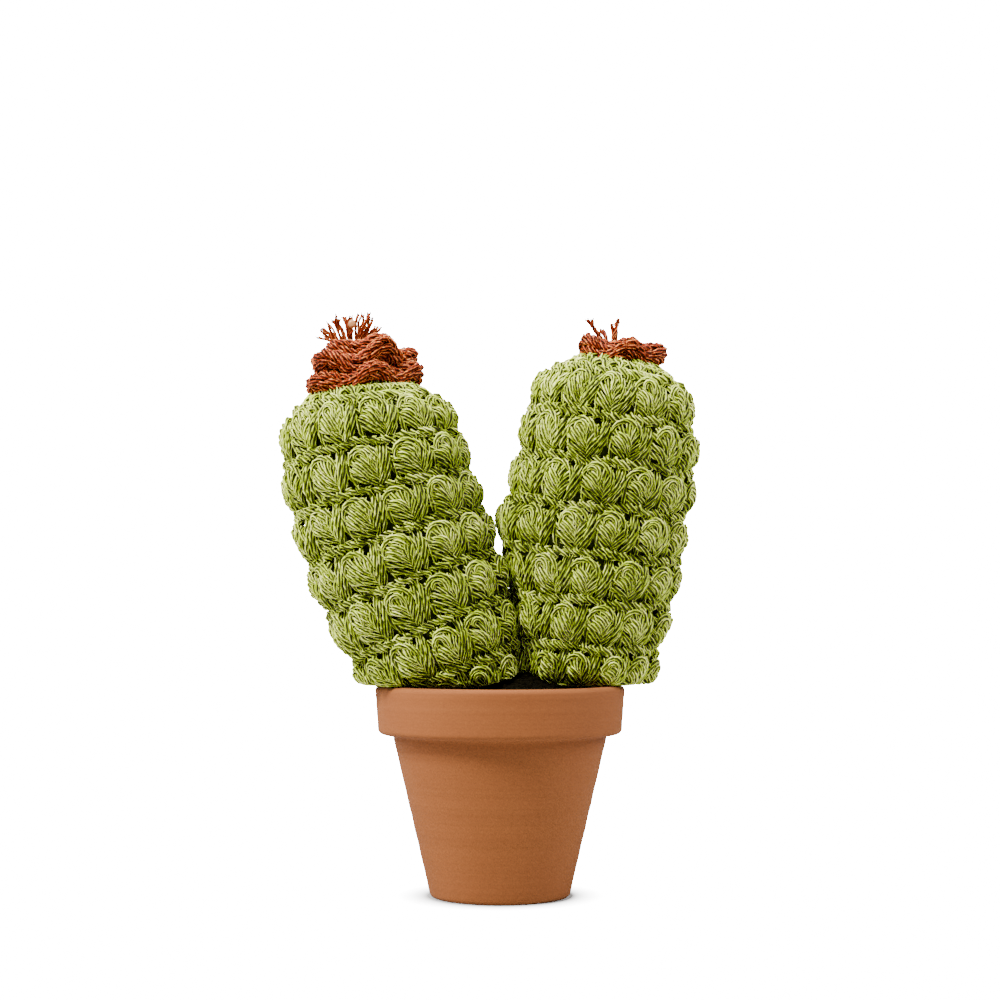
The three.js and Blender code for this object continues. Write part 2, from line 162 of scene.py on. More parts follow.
class Stem:
    """The fabric of one stem: a bent spine with a round section that is fullest at its middle."""

    def __init__(self, name, side, seed, spine, girth, lower_reach, end, first_row, pitch, turn, drift, foot,
                 squareness, bulge):
        self.name, self.side, self.seed = name, side, seed
        self.spine = np.array(spine, float)
        self.girth, self.lower_reach = girth, lower_reach
        self.end, self.first_row, self.pitch, self.turn, self.drift = end, first_row, pitch, turn, drift
        self.foot = np.array(foot, float)
        self.squareness, self.bulge = squareness, bulge
        path = self.bezier(np.linspace(0, 1, 201))[0]
        self.length = np.linalg.norm(np.diff(path, axis=0), axis=1).sum()
        self.measure_section()

    def bezier(self, share):
        """Places and unit directions on the spine at shares of it."""
        t = np.asarray(share, float)[..., None]
        a, b, c, d = self.spine
        place = (1 - t) ** 3 * a + 3 * (1 - t) ** 2 * t * b + 3 * (1 - t) * t * t * c + t ** 3 * d
        along = (1 - t) ** 2 * (b - a) + 2 * (1 - t) * t * (c - b) + t * t * (d - c)
        return place, along / np.linalg.norm(along, axis=-1, keepdims=True)

    def measure_section(self):
        """Heights and radii from the crown down, with the distance walked over the fabric."""
        swing = np.linspace(0, math.pi / 2, 161)
        top = WIDEST_AT + (self.length - WIDEST_AT) * np.cos(swing) ** CROWN_SQUARENESS
        body = np.linspace(WIDEST_AT, self.end, 81)[1:]
        self.heights = np.concatenate([top, body])
        body_radii = self.girth * np.sqrt(1 - ((WIDEST_AT - body) / self.lower_reach) ** self.squareness)
        self.radii = np.concatenate([self.girth * np.sin(swing) ** CROWN_SQUARENESS, body_radii])
        steps = np.hypot(np.diff(self.heights), np.diff(self.radii))
        self.walk = np.concatenate([[0], np.cumsum(steps)])
        even = np.linspace(0, self.walk[-1], 400)
        rise = np.gradient(np.interp(even, self.walk, self.radii))
        fall = -np.gradient(np.interp(even, self.walk, self.heights))
        smooth = np.ones(9) / 9
        rise = np.convolve(np.pad(rise, 4, mode="edge"), smooth, mode="valid")
        fall = np.convolve(np.pad(fall, 4, mode="edge"), smooth, mode="valid")
        size = np.hypot(rise, fall)
        self.even, self.out_radial, self.out_up = even, fall / size, rise / size
        self.fabric_end = self.walk[-1]

    def turn_at(self, walked):
        return self.turn + self.drift * (walked - self.first_row) / self.pitch

    def over(self, walked, turn, lift, margin=0.0):
        """Points over the fabric: walked from the crown, turned in degrees, lifted off it."""
        walked, turn, lift = alike(walked, turn, lift)
        height = np.interp(walked, self.walk, self.heights)
        radius = np.interp(walked, self.walk, self.radii)
        radial = np.interp(walked, self.even, self.out_radial)
        up = np.interp(walked, self.even, self.out_up)
        reached = height + lift * up
        inside = np.clip(reached, 0, self.length)
        place, along = self.bezier(inside / self.length)
        place = place + along * (reached - inside)[..., None]
        back = np.array([0, 1, 0]) - along * along[..., 1:2]
        back /= np.linalg.norm(back, axis=-1, keepdims=True)
        side = np.cross(back, along)
        angle = np.radians(turn)[..., None]
        towards_left = np.clip(-np.cos(angle[..., 0]), 0, 1)
        swell = self.bulge * np.exp(-(((height - SWELL_HEIGHT) / SWELL_REACH) ** 2)) * towards_left ** 2
        reach = np.maximum(0, radius + swell + lift * radial)[..., None]
        place = place + side * reach * np.cos(angle) + back * reach * np.sin(angle)
        return self.press(place, np.maximum(margin, -lift), margin)

    def press(self, place, depth, margin):
        """Flattens what would press into the other stem or onto the pot's rim."""
        facing = np.array([math.cos(SEAM_TURN), math.sin(SEAM_TURN), 0])
        reach = place @ facing
        limit = SEAM_DISTANCE - SEAM_LEAN * (place[..., 2] - SEAM_HEIGHT)
        limit = limit + self.side * (SEAM_GAP / 2 + margin)
        pressed = (at_least if self.side > 0 else at_most)(reach, limit, SEAM_ROUND)
        place = place + (pressed - reach)[..., None] * facing
        place[..., 2] = at_least(place[..., 2], REST_HEIGHT + depth, REST_ROUND)
        return place

    def on_bobble(self, row, column, across, along, lift, margin=0.5):
        """Points at shares of a bobble's width and height from its middle."""
        walked = self.first_row + (row + np.asarray(along, float)) * self.pitch
        stagger = 0.5 * (row % 2)
        turn = self.turn_at(walked) + (column + stagger + np.asarray(across, float)) * 360 / BOBBLES_ROUND
        return self.over(walked, turn, lift, margin)

    def clearance(self, row, column, across):
        """How freely a stitch stands: 0 where it is buried at the rim, 1 well above it."""
        middle = self.on_bobble(row, column, across, 0, 0)
        return float(smoothstep(middle[2], REST_HEIGHT - 2, REST_HEIGHT + REST_FADE - 1))


LEFT = Stem(
    "left", -1, 0, [(-14.8, -4, 68.5), (-29.8, -3, 101), (-41.5, -1, 131), (-44, 0, 163.2)],
    girth=25.8, lower_reach=80, end=-4, first_row=31, pitch=15, turn=-83, drift=3, foot=(-15, -3, 0),
    squareness=3.3, bulge=0,
)
RIGHT = Stem(
    "right", 1, 20, [(27, 3, 69), (29.6, 3, 104), (33.6, 1, 140), (39, 0, 171)],
    girth=24.3, lower_reach=76, end=-2, first_row=27.7, pitch=14.4, turn=-94, drift=-0.5, foot=(21.5, 2, 0),
    squareness=2.6, bulge=4.4,
)


class Skein:
    """Centre lines of yarn, in millimetres, that wait to be spun into one piece."""

    def __init__(self):
        self.places, self.sizes, self.shades, self.counts = [], [], [], []

    def lay(self, places, size, shade=0.5):
        places = np.asarray(places, float)
        self.places.append(places)
        self.sizes.append(np.broadcast_to(np.asarray(size, float), len(places)))
        self.shades.append(np.broadcast_to(np.asarray(shade, float), len(places)))
        self.counts.append(len(places))

    def spin(self, name, material, plies=4, depth=0.42, turns=70.0, seed=1):
        """The strands as one plain mesh of twisted yarn."""
        mesh = bpy.data.meshes.new(name)
        places = in_metres(np.concatenate(self.places))
        starts = np.concatenate([[0], np.cumsum(self.counts)[:-1]])
        firsts = np.concatenate([np.arange(s, s + c - 1) for s, c in zip(starts, self.counts)])
        mesh.from_pydata(places.tolist(), np.stack([firsts, firsts + 1], axis=1).tolist(), [])
        for label, values in (("size", self.sizes), ("shade", self.shades)):
            layer = mesh.attributes.new(label, "FLOAT", "POINT")
            layer.data.foreach_set("value", np.concatenate(values).astype(np.float32))
        return grown(new_object(name, mesh), yarn_spinner(), {
            "Plies": plies, "Ply depth": depth, "Turns per metre": turns, "Seed": seed, "Finish": material,
        })


def new_object(name, data):
    made = bpy.data.objects.new(name, data)
    bpy.context.scene.collection.objects.link(made)
    return made


def tree_with(name, inputs):
    """A new node tree for a modifier, with its geometry sockets and the given named inputs."""
    tree = bpy.data.node_groups.new(name, "GeometryNodeTree")
    tree.interface.new_socket("Geometry", in_out="INPUT", socket_type="NodeSocketGeometry")
    for label, kind, value in inputs:
        socket = tree.interface.new_socket(label, in_out="INPUT", socket_type="NodeSocket" + kind)
        if value is not None:
            socket.default_value = value
    tree.interface.new_socket("Geometry", in_out="OUTPUT", socket_type="NodeSocketGeometry")
    return tree


class Wiring:
    """Short ways to add and join the nodes of a tree."""

    def __init__(self, tree):
        self.tree = tree

    def node(self, kind, settings=None, **inputs):
        made = self.tree.nodes.new(kind)
        for key, value in (settings or {}).items():
            setattr(made, key, value)
        for key, value in inputs.items():
            self.feed(made.inputs[key.replace("_", " ")], value)
        return made

    def feed(self, socket, value):
        if isinstance(value, bpy.types.NodeSocket):
            self.tree.links.new(value, socket)
        else:
            socket.default_value = value

    def calc(self, operation, first, second):
        """One sum of two numbers."""
        made = self.node("ShaderNodeMath", {"operation": operation})
        self.feed(made.inputs[0], first)
        self.feed(made.inputs[1], second)
        return made.outputs[0]

    def scaled(self, vector, factor):
        made = self.node("ShaderNodeVectorMath", {"operation": "SCALE"})
        self.feed(made.inputs[0], vector)
        self.feed(made.inputs["Scale"], factor)
        return made.outputs[0]

    def labelled(self, geometry, label, value):
        """The geometry with a number stored on each of its points."""
        return self.node(
            "GeometryNodeStoreNamedAttribute", {"data_type": "FLOAT", "domain": "POINT"},
            Geometry=geometry, Name=label, Value=value,
        ).outputs[0]

    def close(self, geometry, material):
        """Ends a tree with real geometry in its finish."""
        whole = self.node("GeometryNodeRealizeInstances", Geometry=geometry)
        finished = self.node("GeometryNodeSetMaterial", Geometry=whole.outputs[0], Material=material)
        self.node("NodeGroupOutput", Geometry=finished.outputs[0])


def yarn_spinner():
    """Sweeps a round of plies along every strand, twisting as it goes."""
    if "Spin yarn" in bpy.data.node_groups:
        return bpy.data.node_groups["Spin yarn"]
    tree = tree_with("Spin yarn", [
        ("Plies", "Int", 4), ("Ply depth", "Float", 0.42), ("Turns per metre", "Float", 70.0),
        ("Seed", "Int", 1), ("Finish", "Material", None),
    ])
    w = Wiring(tree)
    given = w.node("NodeGroupInput").outputs
    curve = w.node("GeometryNodeMeshToCurve", Mesh=given["Geometry"]).outputs[0]
    size = w.node("GeometryNodeInputNamedAttribute", {"data_type": "FLOAT"}, Name="size").outputs["Attribute"]
    radius = w.calc("MULTIPLY", size, MM / 2)
    curve = w.node("GeometryNodeSetCurveRadius", Curve=curve, Radius=radius).outputs[0]
    walked = w.node("GeometryNodeSplineParameter").outputs["Length"]
    index = w.node("GeometryNodeInputIndex").outputs[0]
    random = w.node("FunctionNodeRandomValue", {"data_type": "FLOAT"}, ID=index, Seed=given["Seed"])
    on_curve = w.node("GeometryNodeFieldOnDomain", {"domain": "CURVE", "data_type": "FLOAT"})
    w.feed(on_curve.inputs[0], random.outputs[1])
    start = w.calc("MULTIPLY", on_curve.outputs[0], math.tau)
    twist = w.calc("MULTIPLY", w.calc("MULTIPLY", walked, given["Turns per metre"]), math.tau)
    curve = w.node("GeometryNodeSetCurveTilt", Curve=curve, Tilt=w.calc("ADD", twist, start)).outputs[0]
    curve = w.labelled(curve, "walked", walked)
    sides = w.calc("MULTIPLY", given["Plies"], 2)
    round_one = w.node("GeometryNodeCurvePrimitiveCircle", Resolution=sides, Radius=1.0).outputs["Curve"]
    odd = w.calc("MODULO", index, 2)
    shrink = w.calc("SUBTRACT", 1, w.calc("MULTIPLY", odd, given["Ply depth"]))
    drawn_in = w.scaled(w.node("GeometryNodeInputPosition").outputs[0], shrink)
    round_one = w.node("GeometryNodeSetPosition", Geometry=round_one, Position=drawn_in).outputs[0]
    for label, value in (("groove", odd), ("around", w.calc("DIVIDE", index, sides))):
        round_one = w.labelled(round_one, label, value)
    swept = w.node("GeometryNodeCurveToMesh", Curve=curve, Profile_Curve=round_one, Fill_Caps=True)
    for socket in swept.inputs:
        if socket.name == "Scale":
            w.feed(socket, w.node("GeometryNodeInputRadius").outputs[0])
    smooth = w.node("GeometryNodeSetShadeSmooth", Geometry=swept.outputs[0])
    w.close(smooth.outputs[0], given["Finish"])
    return tree


def grown(source, tree, settings):
    """Runs a node tree on an object and returns the result as a plain mesh object of that name."""
    modifier = source.modifiers.new(tree.name, "NODES")
    modifier.node_group = tree
    for socket in tree.interface.items_tree:
        if socket.item_type == "SOCKET" and socket.in_out == "INPUT" and socket.name in settings:
            modifier[socket.identifier] = settings[socket.name]
    bpy.context.view_layer.update()
    graph = bpy.context.evaluated_depsgraph_get()
    shaped = source.evaluated_get(graph)
    mesh = bpy.data.meshes.new_from_object(shaped, preserve_all_data_layers=True, depsgraph=graph)
    name = source.name
    start = source.data
    bpy.data.objects.remove(source)
    bpy.data.meshes.remove(start)
    mesh.name = name
    return new_object(name, mesh)


def smooth_mesh(name, points, faces, material):
    """A smooth mesh object from points in metres."""
    mesh = bpy.data.meshes.new(name)
    mesh.from_pydata(points, [], faces)
    mesh.polygons.foreach_set("use_smooth", [True] * len(mesh.polygons))
    mesh.materials.append(material)
    return new_object(name, mesh)


def plain_mesh(name, points, faces, material):
    """A smooth mesh object from points in millimetres from the pot's axis."""
    return smooth_mesh(name, in_metres(points).tolist(), faces, material)


def ring_skin(rings, first=None, last=None, loop=False):
    """Points and faces of a skin over rings of equal count, with an optional pole at each end."""
    count = len(rings[0])
    points = [np.asarray(ring, float) for ring in rings]
    faces = []
    pairs = [(k, k + 1) for k in range(len(rings) - 1)]
    if loop:
        pairs.append((len(rings) - 1, 0))
    for upper, lower in pairs:
        for i in range(count):
            j = (i + 1) % count
            faces.append((upper * count + i, lower * count + i, lower * count + j, upper * count + j))
    total = count * len(rings)
    if first is not None:
        points.append(np.array([first], float))
        faces += [(total, i, (i + 1) % count) for i in range(count)]
        total += 1
    if last is not None:
        points.append(np.array([last], float))
        base = count * (len(rings) - 1)
        faces += [(base + (i + 1) % count, base + i, total) for i in range(count)]
    return np.concatenate(points), faces


# Finishes


def finish(name, roughness, specular, sheen=0.0):
    """A new material with its wiring and its shader."""
    material = bpy.data.materials.new(name)
    material.use_nodes = True
    w = Wiring(material.node_tree)
    shader = material.node_tree.nodes["Principled BSDF"]
    shader.inputs["Roughness"].default_value = roughness
    shader.inputs["Specular IOR Level"].default_value = specular
    shader.inputs["Sheen Weight"].default_value = sheen
    return material, w, shader


def attribute(w, name):
    """A number that the spun yarn carries."""
    return w.node("ShaderNodeAttribute", {"attribute_name": name}).outputs["Fac"]


def noise(w, scale, detail=4.0, vector=None, roughness=0.5):
    made = w.node("ShaderNodeTexNoise", Scale=scale, Detail=detail, Roughness=roughness)
    source = vector if vector is not None else w.node("ShaderNodeTexCoord").outputs["Object"]
    w.feed(made.inputs["Vector"], source)
    return made.outputs["Fac"]


def ramp(w, value, stops):
    """Colours along a value, from pairs of place and colour."""
    made = w.tree.nodes.new("ShaderNodeValToRGB")
    w.feed(made.inputs[0], value)
    while len(made.color_ramp.elements) < len(stops):
        made.color_ramp.elements.new(0.5)
    for element, (place, colour) in zip(made.color_ramp.elements, stops):
        element.position = place
        element.color = (*colour, 1)
    return made.outputs[0]


def blend(w, share, under, colour):
    """A finish so far, with a share of a plain colour laid over it."""
    made = w.node("ShaderNodeMix", {"data_type": "RGBA"})
    w.feed(made.inputs[0], share)
    w.feed(made.inputs[6], under)
    w.feed(made.inputs[7], (*colour, 1))
    return made.outputs[2]


def ramp_value(w, value, low, high):
    """How far a value has come from the low mark to the high one."""
    made = w.node("ShaderNodeMapRange", Value=value)
    made.inputs["From Min"].default_value = low
    made.inputs["From Max"].default_value = high
    return made.outputs[0]


def bumped(w, shader, height, distance, strength=1.0):
    """Fine relief, with its depth in metres."""
    made = w.node("ShaderNodeBump", Strength=strength, Distance=distance, Height=height)
    w.feed(shader.inputs["Normal"], made.outputs[0])


# Fibres over the yarn, which also break the painted highlights into streaks: how many to a metre along it,
# how many round it, and how far strands differ
FIBRE_PATTERN = (("walked", 300.0), ("around", 11.0), ("shade", 61.0))
# How bright the painted highlight on a ply's crest is, how dark the painted shade in its groove, how narrow
# that shade is, and how rough the groove
CREST_PAINTED_HIGHLIGHT = 1.05
GROOVE_PAINTED_SHADE = -0.24
GROOVE_SHARPNESS = 1.5
GROOVE_ROUGHNESS = 0.95


def cotton(name, stops, roughness, gleam):
    """Mercerised cotton, glossier on the ply crests, with painted shade that turns it nearly black between
    the plies and painted highlights in fine fibre streaks along the crests.
    """
    material, w, shader = finish(name, roughness, 0.3)
    shader.inputs["Specular Tint"].default_value = (*gleam, 1)
    along = w.node("ShaderNodeCombineXYZ")
    for socket, (carried, scale) in zip(along.inputs, FIBRE_PATTERN):
        w.feed(socket, w.calc("MULTIPLY", attribute(w, carried), scale))
    fibres_and_glints = noise(w, 1.0, 3.0, along.outputs[0], 0.6)
    patches = noise(w, 150.0, 2.0)
    # Painted light: the colour falls to near black in each groove and rises to a near-white highlight on each
    # crest
    crest = w.calc("SUBTRACT", 1.0, w.calc("POWER", attribute(w, "groove"), GROOVE_SHARPNESS))
    tone = w.calc("ADD", w.calc("MULTIPLY", crest, CREST_PAINTED_HIGHLIGHT), GROOVE_PAINTED_SHADE)
    # The strands' own tone comes in through shade, together with the painted light laid on bobbles and chains
    for pattern, weight in ((fibres_and_glints, 1.35), (attribute(w, "shade"), 0.5), (patches, 0.2)):
        tone = w.calc("ADD", tone, w.calc("MULTIPLY", w.calc("SUBTRACT", pattern, 0.5), weight))
    w.feed(shader.inputs["Base Color"], ramp(w, tone, stops))
    smoother = w.calc("MULTIPLY", crest, GROOVE_ROUGHNESS - roughness)
    w.feed(shader.inputs["Roughness"], w.calc("SUBTRACT", GROOVE_ROUGHNESS, smoother))
    bumped(w, shader, fibres_and_glints, 0.00014, 0.8)
    return material


def woven_shadow(name, deep, middle):
    """The dense fabric under the stitches, coloured near black as painted shade where it shows between them.
    """
    material, w, shader = finish(name, 0.9, 0.05)
    strands = noise(w, 900.0, 3.0)
    w.feed(shader.inputs["Base Color"], ramp(w, strands, [(0.35, deep), (0.7, middle)]))
    bumped(w, shader, strands, 0.0004)
    return material


def terracotta():
    """Unglazed clay: an even warm body with grit, faint bloom and fine turning lines."""
    material, w, shader = finish("terracotta_clay", 0.82, 0.3)
    place = w.node("ShaderNodeTexCoord").outputs["Object"]
    grit = noise(w, 2600.0, 3.0, place, 0.7)
    cloud = noise(w, 28.0, 3.0, place)
    rings = w.node("ShaderNodeMapping", Vector=place, Scale=(3.0, 3.0, 520.0))
    lines = noise(w, 1.0, 3.0, rings.outputs[0])
    clay = ramp(w, cloud, [(0.3, (0.208, 0.060, 0.0105)), (0.7, (0.232, 0.069, 0.013))])
    for pattern, low, high, share, colour in (
        (grit, 0.55, 0.8, 0.5, (0.34, 0.125, 0.034)),
        (grit, 0.4, 0.25, 0.6, (0.15, 0.036, 0.005)),
        (lines, 0.5, 0.75, 0.14, (0.31, 0.104, 0.026)),
    ):
        clay = blend(w, w.calc("MULTIPLY", ramp_value(w, pattern, low, high), share), clay, colour)
    w.feed(shader.inputs["Base Color"], clay)
    rough = w.calc("ADD", 0.74, w.calc("MULTIPLY", grit, 0.2))
    w.feed(shader.inputs["Roughness"], rough)
    height = w.calc("ADD", w.calc("MULTIPLY", grit, 0.35), lines)
    bumped(w, shader, height, 0.00016, 0.8)
    return material


def earth():
    """Dark soil, coloured near black for its own dark brown and for the painted shade that falls between the
    stems.
    """
    material, w, shader = finish("dark_soil_and_painted_shade", 0.95, 0.03)
    lumps = noise(w, 700.0, 5.0, None, 0.65)
    w.feed(shader.inputs["Base Color"], ramp(w, lumps, [
        (0.3, (0.0010, 0.0007, 0.0002)), (0.6, (0.0045, 0.0034, 0.0008)), (0.85, (0.016, 0.012, 0.004)),
    ]))
    bumped(w, shader, lumps, 0.0008)
    return material


def fibre_fill(name, pale, shadow, scale):
    """Loose tufts of stuffing or packing."""
    material, w, shader = finish(name, 0.95, 0.2, sheen=0.3)
    tufts = noise(w, scale, 5.0, None, 0.7)
    w.feed(shader.inputs["Base Color"], ramp(w, tufts, [(0.3, shadow), (0.65, pale)]))
    bumped(w, shader, tufts, 0.001)
    return material


def pale_bead():
    """Peach-coloured wood."""
    material, w, shader = finish("pale_bead", 0.35, 0.5)
    grain = noise(w, 900.0, 3.0)
    colour = ramp(w, grain, [(0.3, (0.50, 0.20, 0.06)), (0.7, (0.60, 0.28, 0.10))])
    w.feed(shader.inputs["Base Color"], colour)
    bumped(w, shader, grain, 0.00005)
    return material


# The stems


def lay_bobble(skein, stem, row, column):
    """One bobble: legs that fan out from one stitch at its foot and close again under two loops."""
    key = row + stem.seed
    size = BOBBLE * (0.92 + 0.26 * draw(key, column)) - YARN * 0.3
    size *= UPPER_BOBBLES[row] if row < len(UPPER_BOBBLES) else 1
    foot_across = 0.17 + sway(key + 40, column, 0.1)
    shift = sway(key + 41, column, 0.05)
    drop_by = sway(key + 51, column, 0.035)
    turned = sway(key + 43, column, 0.24)
    clear = stem.clearance(row, column, 0)
    if clear < LEAST_SHOWN:
        return
    shade = 0.5 + sway(key + 42, column, 0.08)

    def dome(across, along):
        wide = np.clip(1 - (across / DOME_HALF_WIDTH) ** 2, 0, 1) ** 0.5
        high = np.clip(1 - ((along + DOME_RISE) / DOME_HALF_HEIGHT) ** 2, 0, 1) ** 0.5
        return clear * size * wide * high

    def lay(across, along, extra, thick, tint):
        """Lays a strand over the dome, with painted light: lighter towards its crest and its upper left,
        darker towards its edges.
        """
        across = np.asarray(across, float) + shift
        high = dome(across, along)
        # Painted light and shade over the bobble's dome, as if lit from the upper left
        painted_light = 0.34 * (high / size - 0.72) - 0.10 * across - 0.14 * along
        skein.lay(stem.on_bobble(row, column, across, along + drop_by, high + extra), thick, tint + painted_light)

    steps = np.linspace(0, 1, 9)
    for leg in range(LEGS):
        share = leg / (LEGS - 1)
        angle = math.pi * (1.24 - 1.26 * share) + turned + sway(key * 7 + leg, column, 0.06)
        foot = np.array([foot_across - 0.05 * share, 0.46 - 0.30 * arch(share)])
        tip = np.array([0.43 * math.cos(angle) - 0.03, -0.03 - 0.40 * math.sin(angle)])
        bulge = np.array([0.05, -0.05]) * (0.2 - math.cos(angle)) * arch(share)
        bend = foot * 0.47 + tip * 0.53 + bulge
        weights = np.stack([(1 - steps) ** 2, 2 * steps * (1 - steps), steps ** 2], axis=1)
        path = weights @ np.stack([foot, bend, tip])
        thick = YARN * (0.52 + 0.5 * steps ** 0.8 - 0.12 * steps ** 6)
        tint = shade + sway(key * 7 + leg, column + 50, 0.18)
        lay(path[:, 0], path[:, 1], 0.5 * arch(steps) - 0.5, thick, tint)
    for loop, (wide, high, drop, lift) in enumerate(((0.34, 0.33, -0.06, 0.3), (0.14, 0.13, -0.17, 0.7))):
        if loop and draw(key + 48, column) < 0.35:
            continue
        steps = np.linspace(0, 1, 12 - 3 * loop)
        angle = math.pi * (1.04 - 1.14 * steps) + turned * 1.4
        across = wide * np.cos(angle) + sway(key + 44 + loop, column, 0.06) - 0.05 * loop
        along = drop - high * np.sin(angle) + 0.12 * steps ** 3
        thick = YARN * (0.55 + 0.35 * arch(steps) ** 0.5) * (1 - 0.15 * loop)
        over = lift + 0.4 * arch(steps)
        lay(across, along, over, thick, shade + 0.04 + sway(key + 49, column + loop, 0.06))
    if draw(key + 45, column) > 0.12:
        steps = np.linspace(0, 1, 7)
        for wrap in range(2 + int(4 * draw(key + 46, column))):
            start = np.array([-0.36 + 0.08 * wrap, 0.0 - 0.09 * wrap])
            stop = start + np.array([0.36, 0.24 + sway(key + 47, column, 0.12)])
            across = start[0] + (stop[0] - start[0]) * steps
            along = start[1] + (stop[1] - start[1]) * steps - 0.05 * arch(steps)
            over = 0.95 * arch(steps) ** 0.7 - 0.3
            tint = shade + 0.1 + sway(key * 5 + wrap, column + 60, 0.12)
            lay(across, along, over, YARN * (0.5 + 0.35 * arch(steps)), tint)


def lay_plain_stitch(skein, stem, row, column):
    """The plain stitch beside a bobble, which rises from the bobble's foot and leans away from it."""
    key = row + stem.seed
    clear = stem.clearance(row, column, 0.5)
    if clear < LEAST_SHOWN:
        return
    steps = np.linspace(0, 1, 7)
    for strand, (start, stop, sag, high) in enumerate((
        (0.24, 0.42, 0.08, 3.3), (0.36, 0.54, 0.07, 2.9), (0.70, 0.55, -0.05, 2.3),
    )):
        across = start + (stop - start) * steps + sag * arch(steps)
        across = across + sway(key + 71, column * 3 + strand, 0.03)
        along = 0.42 - 0.84 * steps
        lift = clear * (0.9 + high * np.sin(math.pi * (0.12 + 0.8 * steps)))
        tint = 0.52 - 0.03 * strand + sway(key + 70, column * 3 + strand, 0.12)
        thick = YARN * (0.7 + 0.3 * arch(steps))
        skein.lay(stem.on_bobble(row, column, across, along, lift), thick, tint)


def lay_row_chain(skein, stem, edge):
    """The chain that closes a row: two strands plaited round the stem, prouder in places."""
    turns = round(BOBBLES_ROUND * CHAIN_WAVES)
    count = turns * 7
    share = np.linspace(0, 1, count + 1)
    walked = stem.first_row + (edge - 0.5) * stem.pitch
    round_stem = math.tau * share
    swing = turns * round_stem
    for strand in (0, math.pi):
        wobble = 0.45 * np.sin(5 * round_stem + edge) + 0.3 * np.sin(13 * round_stem + 2 * edge)
        along = walked + CHAIN_SWING * np.sin(swing + strand) + wobble
        proud = 0.7 * np.sin(9 * round_stem + 3 * edge) + 0.5 * np.sin(23 * round_stem + edge)
        lift = CHAIN_LIFT + 0.9 * np.cos(swing + strand) + proud
        turn = stem.turn_at(walked) + 360 * share + 2.6 * np.sin(2 * (swing + strand))
        points = stem.over(along, turn, lift, 0.5)
        shown = points[:, 2] > REST_HEIGHT + 1.6
        edges = np.flatnonzero(np.diff(np.concatenate([[0], shown.astype(int), [0]])))
        for start, stop in zip(edges[::2], edges[1::2]):
            if stop - start > 3:
                piece = slice(start, stop)
                # Painted light: the tint varies along the chain and is lighter where the chain stands prouder
                tint = 0.55 + 0.10 * np.sin(17.0 * share[piece] + edge) + 0.08 * proud[piece]
                skein.lay(points[piece], YARN * (0.92 + 0.1 * np.sin(31 * share[piece])), tint)


def lay_crown(skein, stem):
    """Plain rounds over the crown: a plaited chain for each round, with short posts between."""
    edge = stem.first_row - stem.pitch / 2
    rounds = max(3, round(edge / CROWN_PITCH))
    pitch = edge / rounds
    for k in range(1, rounds + 1):
        walked = pitch * (k - 0.45)
        girth = math.tau * np.interp(walked, stem.walk, stem.radii)
        stitches = max(5, round(girth / CROWN_STITCH))
        share = np.linspace(0, 1, stitches * 6 + 1)
        swing = math.tau * stitches * share
        for strand in (0, math.pi):
            lift = 1.3 + 0.8 * np.cos(swing + strand)
            along = walked + 0.85 * np.sin(swing + strand) + 0.4 * np.sin(7 * share + k)
            tint = 0.56 + 0.14 * np.sin(23.0 * share + k)
            skein.lay(stem.over(along, 360 * share + 31 * k, lift), YARN * 0.95, tint)
        steps = np.linspace(0, 1, 6)
        for stitch in range(stitches):
            turn = 360 * (stitch + 0.3 + sway(stitch, k, 0.15)) / stitches + 31 * k
            for side in (-1, 0, 1):
                spread = side * 0.36 * 360 / stitches
                along = walked + pitch * (0.02 + 0.9 * steps)
                lift = 0.4 + (1.5 + 0.5 * draw(stitch, k)) * arch(steps)
                tint = 0.54 + sway(stitch, k * 3 + side + stem.seed, 0.16)
                points = stem.over(along, turn + spread * (1 - steps), lift)
                skein.lay(points, YARN * (0.65 + 0.3 * arch(steps)), tint)


def fabric_ground(stem, name, material):
    """The closed fabric under the stitches, down to its plain foot in the pot."""
    turns = np.linspace(0, 360, 78, endpoint=False)
    walked = np.linspace(1.5, stem.fabric_end, 84)
    angle = np.radians(turns)
    fill = FABRIC_LIFT + FABRIC_FILL * np.clip(-stem.side * np.cos(angle), 0, 1) ** 2
    outside = [stem.over(w, turns, fill, 0.05) for w in walked]
    inside = [stem.over(w, turns, -WALL) for w in walked[::-4]]
    inner = FOOT_RADIUS - FOOT_WALL
    foot = [circle(angle, radius, height) + stem.foot for radius, height in (
        (FOOT_RADIUS, REST_HEIGHT - 0.4), (FOOT_RADIUS, FOOT_BOTTOM),
        (inner, FOOT_BOTTOM), (inner, REST_HEIGHT + WALL),
    )]
    points, faces = ring_skin(
        outside + foot + inside, first=stem.over(0, 0, FABRIC_LIFT), last=stem.over(0, 0, -WALL),
    )
    return plain_mesh(name, points, faces, material)


def dress_stem(stem, yarn_finish, shadow_finish):
    """Every piece of a stem's cover, riding with the pot and standing for the plain cover."""
    rows = range(int((stem.fabric_end - stem.first_row) / stem.pitch + 0.75) + 1)
    fabric = Skein()
    made = []
    for part, some_rows in (("upper", rows[:4]), ("lower", rows[4:])):
        bobbles = Skein()
        for row in some_rows:
            for column in range(BOBBLES_ROUND):
                lay_bobble(bobbles, stem, row, column)
        name = f"{stem.name}_stem_{part}_bobbles"
        made.append(bobbles.spin(name, yarn_finish, seed=stem.seed + len(made)))
    for row in rows:
        for column in range(BOBBLES_ROUND):
            lay_plain_stitch(fabric, stem, row, column)
        lay_row_chain(fabric, stem, row)
    lay_crown(fabric, stem)
    made.append(fabric.spin(f"{stem.name}_stem_stitches", yarn_finish, seed=stem.seed + 3))
    ground = fabric_ground(stem, f"{stem.name}_stem_fabric", shadow_finish)
    for piece in (*made, ground):
        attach(piece, BODY)
        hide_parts(f"{stem.name}_stem_cover")


# The pot and what fills it


